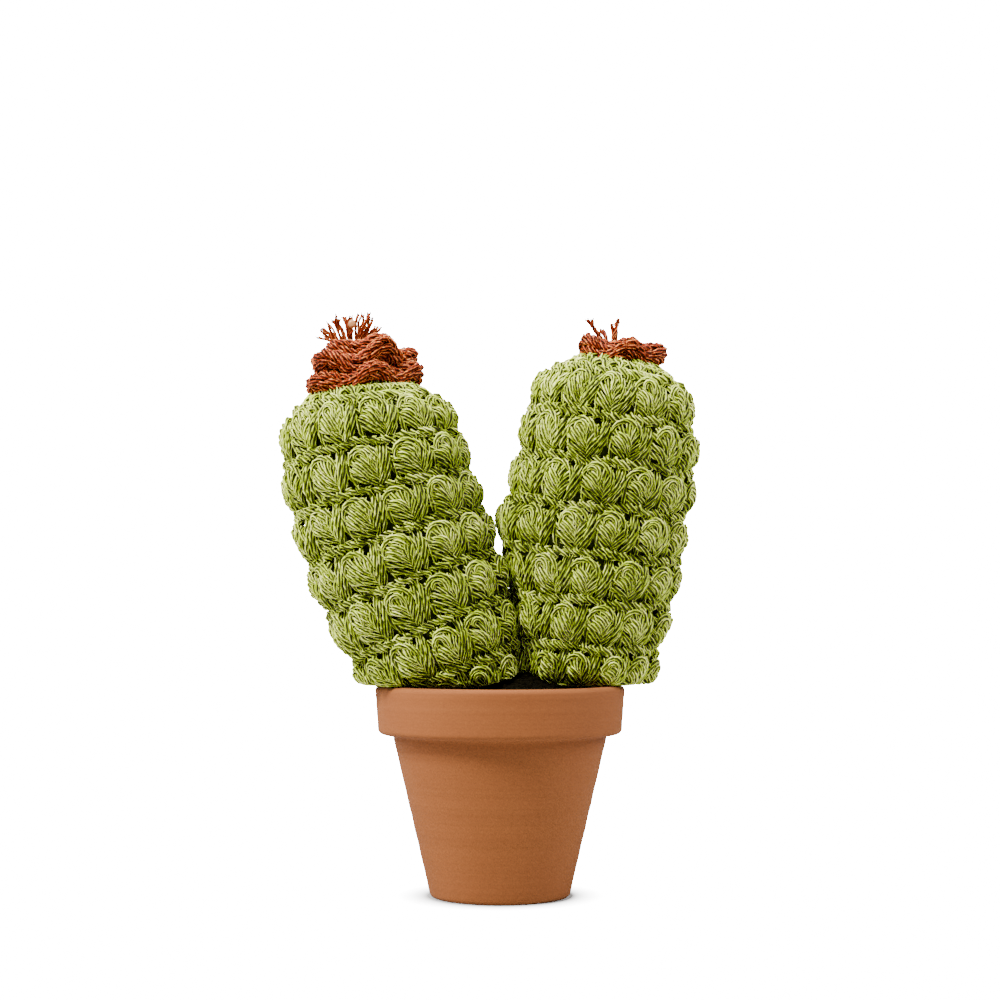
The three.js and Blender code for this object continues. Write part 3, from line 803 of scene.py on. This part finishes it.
def pot_outline():
    """Radius and height round the pot's section, from the drain hole outwards and back inside."""
    height, rim, draft = POT_HEIGHT, RIM_RADIUS, 0.9
    band, body, base = height - 15.5, 34.3, 22.6
    mouth, floor_radius, floor, drain = 35.5, 20.0, 4.5, 4.5

    def arc(radius, level, size, start, stop, steps=7):
        angle = np.radians(np.linspace(start, stop, steps))
        return list(zip(radius + size * np.cos(angle), level + size * np.sin(angle)))

    def line(start, stop, steps):
        return list(zip(np.linspace(start[0], stop[0], steps), np.linspace(start[1], stop[1], steps)))[1:-1]

    outline = [(drain, 0.0)]
    outline += line((drain, 0), (base - 1.5, 0), 5)
    outline += arc(base - 1.5, 1.5, 1.5, -90, -13)
    outline += line(outline[-1], (body - 0.3, band - 2), 24)
    outline += arc(body + 1.2, band - 1.4, 1.4, 185, 90)
    outline += arc(rim - draft - 1.8, band + 1.8, 1.8, -85, -4)
    outline += line(outline[-1], (rim, height - 1.6), 9)
    outline += arc(rim - 1.6, height - 1.6, 1.6, 0, 90)
    outline += arc(mouth + 1.2, height - 1.2, 1.2, 90, 180)
    outline += line(outline[-1], (floor_radius + 0.5, floor + 2), 20)
    outline += [(floor_radius + 0.5, floor + 2), (floor_radius - 1.5, floor + 0.2), (floor_radius - 3, floor)]
    outline += line((floor_radius - 3, floor), (drain + 0.4, floor), 4)
    outline += [(drain + 0.4, floor), (drain, floor - 0.5)]
    return np.array(outline)


def thrown_pot(material):
    """The pot turned finely, with the slight unevenness and shallow lines of turned clay."""
    angle = round_angles(160)
    rings = []
    for radius, height in pot_outline():
        uneven = 0.10 * np.sin(2 * angle + 0.6) * (height / POT_HEIGHT)
        lines = 0.05 * math.sin(height * 2.3) + 0.03 * math.sin(height * 5.1 + 1)
        on_wall = 1.0 if radius > 23.5 and height < POT_HEIGHT - 2 else 0.0
        reach = radius + uneven + lines * on_wall
        rings.append(circle(angle, reach, height))
    points, faces = ring_skin(rings[::-1], loop=True)
    made = plain_mesh("terracotta_pot", points, faces, material)
    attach(made, BODY)
    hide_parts("pot")


SOIL_LEVEL = 64.6
SOIL_HEAP = 6.4
SOIL_RADIUS = 34.2
SOIL_BOTTOM = 61.0


def soil_height(x, y):
    """The soil's surface: level at the stems' feet, heaped in the gap between them."""
    across = (x - 8) / 9
    along = y / 34
    return SOIL_LEVEL + SOIL_HEAP * np.exp(-(across ** 2)) * (1 - along ** 2)


def crumb_scatter():
    """Strews small uneven crumbs over a bed."""
    tree = tree_with("Strew crumbs", [
        ("Crumbs per square metre", "Float", 420000.0), ("Smallest", "Float", 0.0003),
        ("Largest", "Float", 0.0010), ("Seed", "Int", 5), ("Finish", "Material", None),
    ])
    w = Wiring(tree)
    given = w.node("NodeGroupInput").outputs
    spots = w.node(
        "GeometryNodeDistributePointsOnFaces", {"distribute_method": "RANDOM"},
        Mesh=given["Geometry"], Density=given["Crumbs per square metre"], Seed=given["Seed"],
    )
    crumb = w.node("GeometryNodeMeshIcoSphere", Radius=1.0, Subdivisions=1)
    place = w.node("GeometryNodeInputPosition").outputs[0]
    rough = w.node("ShaderNodeTexNoise", Vector=place, Scale=1.3)
    rougher = w.calc("ADD", w.calc("MULTIPLY", rough.outputs["Fac"], 0.9), 0.55)
    uneven = w.scaled(place, rougher)
    lumpy = w.node("GeometryNodeSetPosition", Geometry=crumb.outputs[0], Position=uneven)
    size = w.node("FunctionNodeRandomValue", {"data_type": "FLOAT"}, Seed=given["Seed"])
    w.feed(size.inputs[2], given["Smallest"])
    w.feed(size.inputs[3], given["Largest"])
    spin = w.node("FunctionNodeRandomValue", {"data_type": "FLOAT_VECTOR"}, Seed=given["Seed"])
    spin.inputs[1].default_value = (6.28, 6.28, 6.28)
    copies = w.node(
        "GeometryNodeInstanceOnPoints",
        Points=spots.outputs[0], Instance=lumpy.outputs[0], Rotation=spin.outputs[0], Scale=size.outputs[1],
    )
    w.close(copies.outputs[0], given["Finish"])
    return tree


def soil_bed(material):
    """Dark soil, heaped between the stems, with loose crumbs on it."""
    angle = round_angles(120)
    rings = []
    for share in np.linspace(0.02, 1, 44):
        ring = circle(angle, share * SOIL_RADIUS, 0.0)
        x, y = ring[:, 0], ring[:, 1]
        ripples = 0.35 * np.sin(1.9 * x + 0.7 * y) * np.sin(1.3 * y - x)
        crumbly = ripples + 0.22 * np.sin(5.1 * x) * np.sin(4.3 * y)
        ring[:, 2] = soil_height(x, y) + crumbly
        rings.append(ring)
    wall = rings[-1].copy()
    wall[:, 2] = SOIL_BOTTOM
    middle = (0, 0, float(soil_height(0, 0)))
    points, faces = ring_skin(rings + [wall], first=middle, last=(0, 0, SOIL_BOTTOM))
    bed = plain_mesh("soil_bed", points, faces, material)
    strewn = plain_mesh("soil_crumbs", *ring_skin(rings, first=middle), material)
    crumbs = grown(strewn, crumb_scatter(), {
        "Crumbs per square metre": 420000.0, "Smallest": 0.0003, "Largest": 0.0010,
        "Seed": 5, "Finish": material,
    })
    for piece in (bed, crumbs):
        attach(piece, BODY)
        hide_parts("soil_top")


# The flowers


class Tier:
    """One ruffled tier of a flower: scalloped petals that rise and fall in turn."""

    def __init__(self, radius, petals, scallop, ruffle, rise, turn, seed, height, thick):
        self.radius, self.petals, self.scallop, self.ruffle = radius, petals, scallop, ruffle
        self.rise, self.turn, self.seed, self.height, self.thick = rise, turn, seed, height, thick
        self.whole = 2 * (radius - thick / 2) + math.pi * thick / 2

    def at(self, share, turn, layer):
        """Points at a share of the radius, a turn in degrees from the first petal, and a layer."""
        share, turn, layer = alike(share, turn, layer)
        place = turn / 360 * self.petals
        wave = np.cos(math.tau * place)
        before = np.floor(place).astype(int)
        mixing = smoothstep(place - before, 0.0, 1.0)

        def petal_draw(seed):
            values = np.array([draw(seed, k) for k in range(self.petals)])
            return values[before % self.petals] * (1 - mixing) + values[(before + 1) % self.petals] * mixing

        size = self.radius * (1 - self.scallop * (1 - wave) / 2) * (0.94 + 0.12 * petal_draw(self.seed))
        angle = np.radians(self.turn + turn)
        lift = self.ruffle * (petal_draw(self.seed + 1) + 0.4) * wave
        lift = lift + self.ruffle * 0.5 * np.sin(2 * angle + self.seed)
        height = self.height + self.rise * share ** 2 + lift * share ** 3 + self.thick * layer
        return circle(angle, size * share, height)

    def over(self, walked, turn, lift):
        """Points over the tier's skin, walked from the middle of its top, over its edge, to its underside."""
        walked, turn, lift = alike(walked, turn, lift)
        bend = self.thick / 2
        flat = self.radius - bend
        angle = np.clip((walked - flat) / bend, 0, math.pi)
        under = np.maximum(0, walked - flat - math.pi * bend)
        reach = np.minimum(walked, flat) - under + (bend + lift) * np.sin(angle)
        layer = 0.5 + (bend + lift) / self.thick * np.cos(angle)
        return self.at(reach / self.radius, turn, layer)


class Flower:
    """A flower's place on its stem and its tiers, all laid out about its own foot."""

    def __init__(self, name, place, lean, tiers, tuft):
        self.name, self.place, self.lean = name, np.array(place, float), math.radians(lean)
        self.tiers, self.tuft = tiers, np.array(tuft, float)

    def seat(self, points):
        """Points about the flower's foot, tilted and moved onto the stem."""
        points = np.asarray(points, float)
        turn = np.array([
            [math.cos(self.lean), 0, math.sin(self.lean)],
            [0, 1, 0],
            [-math.sin(self.lean), 0, math.cos(self.lean)],
        ])
        return points @ turn.T + self.place


LEFT_FLOWER = Flower(
    "left_flower", (-44.3, 0, 164.4), -5,
    [
        Tier(19.2, 6, 0.14, 2.3, -1.8, -75, 3, 0, 3.5),
        Tier(17.4, 5, 0.16, 2.3, 0.4, -60, 9, 5.0, 3.2),
        Tier(11.6, 4, 0.20, 1.0, 0.4, -50, 15, 8.6, 3.6),
    ],
    tuft=(-2.6, 0, 12.2),
)
RIGHT_FLOWER = Flower(
    "right_flower", (38.6, 0, 171), 6, [Tier(13.4, 5, 0.12, 1.5, 0.4, -80, 21, 0, 5.0)], tuft=(-2.8, 0, 5.0),
)


def tier_ground(flower, tier, index, material):
    """The thin fabric inside a tier, under its stitches."""
    turns = np.linspace(0, 360, 72, endpoint=False)
    rings = [tier.over(walked, turns, -TIER_DEPTH) for walked in np.linspace(2.5, tier.whole - 2.5, 22)]
    middle = np.array([0, 0, tier.height])
    top, bottom = middle + (0, 0, tier.thick - TIER_DEPTH), middle + (0, 0, TIER_DEPTH)
    points, faces = ring_skin(rings, first=top, last=bottom)
    return plain_mesh(f"{flower.name}_tier_{index}", flower.seat(points), faces, material)


def lay_tier(skein, flower, tier, index):
    """Rounds of chevron stitches over a tier's top, edge and underside."""
    rounds = int((tier.whole - 6) / ROUND_PITCH)
    steps = np.linspace(0, 1, 5)
    for k in range(rounds):
        walked = 3.5 + ROUND_PITCH * (k + 0.5)
        ring = tier.over(walked, 0.0, 0.0)
        reach = max(2.0, math.hypot(ring[0], ring[1]))
        stitches = max(6, round(math.tau * reach / RUST_STITCH))
        way = 1 if k % 2 else -1
        key = index * 100 + k
        for stitch in range(stitches):
            turn = 360 * (stitch + 0.37 * k + sway(key, stitch, 0.14)) / stitches
            for side in (-1, 1):
                slant = side * ROUND_PITCH * (0.48 - 0.42 * steps) + sway(key + 300, stitch, 0.25)
                ahead = way * (steps - 0.4) * 1.35 * 360 / stitches
                lift = -0.1 + 0.9 * arch(steps) + sway(key + 500, stitch, 0.15)
                thick = RUST_YARN * (0.55 + 0.5 * arch(steps))
                # Painted light: each stitch arm is lighter at its raised middle and darker where it dips into
                # the tier
                tint = 0.42 + 0.16 * arch(steps) + sway(key + 700, stitch * 2 + side, 0.14)
                skein.lay(flower.seat(tier.over(walked + slant, turn + ahead, lift)), thick, tint)


def dress_flower(flower, yarn_finish, shadow_finish):
    """A flower's tiers and the yarn over them, standing for the plain flower."""
    stitches = Skein()
    made = []
    for index, tier in enumerate(flower.tiers):
        lay_tier(stitches, flower, tier, index)
        made.append(tier_ground(flower, tier, index, shadow_finish))
    made.append(stitches.spin(f"{flower.name}_stitches", yarn_finish, depth=0.26, turns=90.0, seed=7))
    for piece in made:
        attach(piece, BODY)
        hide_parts(flower.name)


# The bead and the yarn ends' tips, from the foot of their tuft
BEAD = np.array([0.7, -2.9, 7.2])
RIGHT_ENDS = [(-8.0, -1.2, 8.9), (-3.2, 1.4, 6.0), (0.9, -1.8, 7.6), (2.6, 1.0, 9.1)]
FAN_FROM, FAN_STEP, FAN_SIZE = -64, 8.3, 10.4


def left_ends():
    """Tips for the big flower, fanned out in turn to the front and the back, and the bead's."""
    tips = []
    for k in range(16):
        lean = math.radians(FAN_FROM + FAN_STEP * k + sway(32, k, 2.5))
        size = FAN_SIZE + sway(31, k, 0.8)
        depth = (-1 if k % 2 else 1) * (0.8 + 3.6 * draw(33, k))
        tips.append((size * math.sin(lean), depth, size * math.cos(lean) * 0.97))
    tips.append(tuple(BEAD - (0, 0, 1.6)))
    return tips


def lay_yarn_end(skein, flower, tip, thick, root, seed):
    """A cut yarn end that starts at a share of its tip's reach, parts into plies and frays."""
    tip = np.array(tip, float)
    steps = np.linspace(0, 1, 8)
    bend = np.array([sway(seed, 1, 0.9), sway(seed, 2, 0.9), 0.0])
    outwards = root + (1 - root) * steps ** 1.3
    spine = np.stack([outwards * tip[0], outwards * tip[1], steps * tip[2]], axis=1)
    spine = spine + np.outer(arch(steps), bend) + flower.tuft
    plies = 2 + int(2 * draw(seed, 3))
    for ply in range(plies):
        angle = math.tau * (ply / plies + draw(seed, ply + 5)) + 4 * steps
        part = thick * (0.35 + 0.8 * smoothstep(steps, 0.45, 1.0))
        offset = circle(angle, part, 0.2 * np.sin(angle))
        stop = 8 if draw(seed, ply) > 0.3 else 7
        strand = (spine + offset)[:stop]
        skein.lay(flower.seat(strand), thick, 0.62 + sway(seed, ply, 0.12))
        along = strand[-1] - strand[-2]
        along = along / np.linalg.norm(along)
        for fibre in range(6):
            spread = np.array([sway(seed * 3 + ply, fibre * 3 + k, 0.55) for k in range(3)])
            reach = 0.8 + 0.7 * draw(seed + ply, fibre + 11)
            fine = np.linspace(0, 1, 4)[:, None]
            hair = strand[-1] - along * 0.5 + along * reach * fine + spread * fine ** 1.3
            skein.lay(flower.seat(hair), thick * 0.4, 0.75)


def dress_tuft(flower, ends, thick, root, knot, yarn_finish):
    """A flower's yarn ends and the small coiled knot that they rise from."""
    tuft = Skein()
    for k, tip in enumerate(ends):
        lay_yarn_end(tuft, flower, tip, thick, root, 90 + k + 30 * len(ends))
    steps = np.linspace(0, 1, 9)
    for k in range(7):
        angle = math.tau * k / 7 + 1.2 * (steps - 0.5)
        reach = knot * np.cos(math.pi * (steps - 0.5)) ** 0.5 * 0.62
        coil = circle(angle, reach, 0.3 + 4.4 * steps * (1 - steps))
        tuft.lay(flower.seat(coil + flower.tuft), 1.5, 0.4 + sway(k, 5, 0.1))
    made = tuft.spin(f"{flower.name}_yarn_ends", yarn_finish, depth=0.2, turns=90.0, seed=9)
    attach(made, BODY)
    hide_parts(f"{flower.name}_stamens")


def dress_bead(material):
    """The small oval bead at the tip of a yarn end."""
    middle = LEFT_FLOWER.tuft + BEAD
    halves = np.array([1.24, 1.17, 1.43])
    angle = round_angles(28)
    rings = []
    for tilt in np.linspace(0, math.pi, 19)[1:-1]:
        uneven = 1 + 0.03 * np.sin(3 * angle + 2 * tilt)
        rings.append(circle(angle, math.sin(tilt) * uneven, math.cos(tilt)) * halves + middle)
    pole = halves * (0, 0, 1)
    points, faces = ring_skin(rings, first=middle + pole, last=middle - pole)
    made = plain_mesh("pale_yarn_bead", LEFT_FLOWER.seat(points), faces, material)
    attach(made, BODY)
    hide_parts("left_flower_bead")


# The studio, in metres

CAMERA_AWAY = 0.628
CAMERA_HEIGHT = 0.0915
CAMERA_PITCH = 3.2
LENS = 70.0
AIR_LIGHT = 0.27

# Each light's name, place, size and power
LIGHTS = (
    ("key_light", (-0.55, -0.60, 0.98), (0.3, 0.3), 34),
    ("right_light", (0.95, -0.10, 0.70), (0.6, 0.7), 17),
    ("left_light", (-0.95, 0.0, 0.65), (0.6, 0.7), 15),
    ("top_light", (0.05, 0.2, 1.2), (0.5, 0.5), 16),
)

# How strongly the floor is washed out, and the distances from the pot between which that sets in; inside them
# the glow fades, painting a soft contact shadow round the pot
FLOOR_GLOW = 30.0
PAINTED_CONTACT_SHADOW = (0.023, 0.042)
FLOOR_FLAT, FLOOR_BEND, FLOOR_HIGH = 3.0, 1.5, 4.0


def studio_floor():
    """A pale round floor that curves up far away on all sides, washed out to white for the camera, with a
    painted contact shadow where the glow fades near the pot.
    """
    material, w, shader = finish("pale_floor", 0.9, 0.1)
    paper = noise(w, 40.0, 3.0)
    w.feed(shader.inputs["Base Color"], ramp(w, paper, [(0.2, (0.42,) * 3), (0.8, (0.44,) * 3)]))
    shader.inputs["Emission Color"].default_value = (1, 1, 1, 1)
    seen = w.node("ShaderNodeLightPath").outputs["Is Camera Ray"]
    place = w.node("ShaderNodeTexCoord").outputs["Object"]
    from_pot = w.node("ShaderNodeVectorMath", {"operation": "DISTANCE"})
    w.feed(from_pot.inputs[0], place)
    from_pot.inputs[1].default_value = (POT_AXIS_X, 0, 0)
    # Painted shadow: the glow fades out near the pot, so a darker ring shows round its foot
    away = ramp_value(w, from_pot.outputs["Value"], *PAINTED_CONTACT_SHADOW)
    w.feed(shader.inputs["Emission Strength"], w.calc("MULTIPLY", w.calc("MULTIPLY", seen, away), FLOOR_GLOW))
    section = [(FLOOR_FLAT * share, 0.0) for share in (0.02, 0.3, 1.0)]
    for angle in np.linspace(0, math.pi / 2, 13)[1:]:
        section.append((FLOOR_FLAT + FLOOR_BEND * math.sin(angle), FLOOR_BEND * (1 - math.cos(angle))))
    section.append((FLOOR_FLAT + FLOOR_BEND, FLOOR_HIGH))
    turns = round_angles(64)
    points, faces = ring_skin([circle(turns, radius, height) for radius, height in section])
    faces.append(tuple(range(len(turns))))
    smooth_mesh("studio_floor", points.tolist(), faces, material)


def soft_light(name, place, size, power):
    """An area light that faces the middle of the object."""
    lamp = bpy.data.lights.new(name, "AREA")
    lamp.shape = "RECTANGLE"
    lamp.size, lamp.size_y = size
    lamp.energy = power
    holder = new_object(name, lamp)
    holder.location = place
    holder.rotation_euler = (Vector((POT_AXIS_X, 0, 0.1)) - Vector(place)).to_track_quat("-Z", "Y").to_euler()


def studio():
    """The floor, the lights and the camera that stands where the photo's did."""
    studio_floor()
    for light in LIGHTS:
        soft_light(*light)
    world = bpy.data.worlds.new("studio_air")
    world.use_nodes = True
    world.node_tree.nodes["Background"].inputs["Color"].default_value = (1, 1, 1, 1)
    world.node_tree.nodes["Background"].inputs["Strength"].default_value = AIR_LIGHT
    bpy.context.scene.world = world
    lens = bpy.data.cameras.new("photo_camera")
    lens.lens = LENS
    lens.sensor_width = 36
    lens.clip_end = 50
    holder = new_object("photo_camera", lens)
    holder.location = (POT_AXIS_X, -CAMERA_AWAY, CAMERA_HEIGHT)
    holder.rotation_euler = (math.radians(90 + CAMERA_PITCH), 0, 0)
    bpy.context.scene.camera = holder


# Putting it together

# The near-black low ends of the cotton ramps are the painted shade in the ply grooves, the near-white top
# ends the painted highlights on the crests
green_cotton = cotton("green_cotton", [
    (0.10, (0.0015, 0.0022, 0.0001)), (0.32, (0.050, 0.070, 0.0004)), (0.55, (0.25, 0.345, 0.002)),
    (0.76, (0.61, 0.79, 0.02)), (0.92, (1.0, 1.0, 0.36)),
], 0.33, (1.0, 0.95, 0.3))
rust_cotton = cotton("rust_cotton", [
    (0.10, (0.005, 0.0004, 0.0001)), (0.32, (0.055, 0.0024, 0.0003)), (0.55, (0.225, 0.0075, 0.0008)),
    (0.76, (0.41, 0.032, 0.0025)), (0.93, (0.95, 0.36, 0.09)),
], 0.38, (1.0, 0.45, 0.15))
# The fabric under the stitches is coloured far darker than its own yarn: painted shade in the gaps between
# stitches
green_shadow = woven_shadow("green_fabric_painted_shade", (0.006, 0.009, 0.0004), (0.040, 0.055, 0.002))
rust_shadow = woven_shadow("rust_fabric_painted_shade", (0.010, 0.0015, 0.0005), (0.055, 0.009, 0.0015))

studio()
thrown_pot(terracotta())
soil_bed(earth())
for stem in (LEFT, RIGHT):
    dress_stem(stem, green_cotton, green_shadow)
dress_flower(LEFT_FLOWER, rust_cotton, rust_shadow)
dress_flower(RIGHT_FLOWER, rust_cotton, rust_shadow)
dress_tuft(LEFT_FLOWER, left_ends(), 0.92, 0.5, 3.4, rust_cotton)
dress_tuft(RIGHT_FLOWER, RIGHT_ENDS, 1.35, 0.3, 2.6, rust_cotton)
dress_bead(pale_bead())

stuffing = fibre_fill("stuffing", (0.85, 0.84, 0.80), (0.55, 0.54, 0.50), 300.0)
packing = fibre_fill("packing", (0.62, 0.58, 0.50), (0.40, 0.37, 0.31), 500.0)
for node, material in (
    ("left_stem_wadding", stuffing), ("right_stem_wadding", stuffing), ("pot_packing", packing),
):
    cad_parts[node].data.materials.clear()
    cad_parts[node].data.materials.append(material)
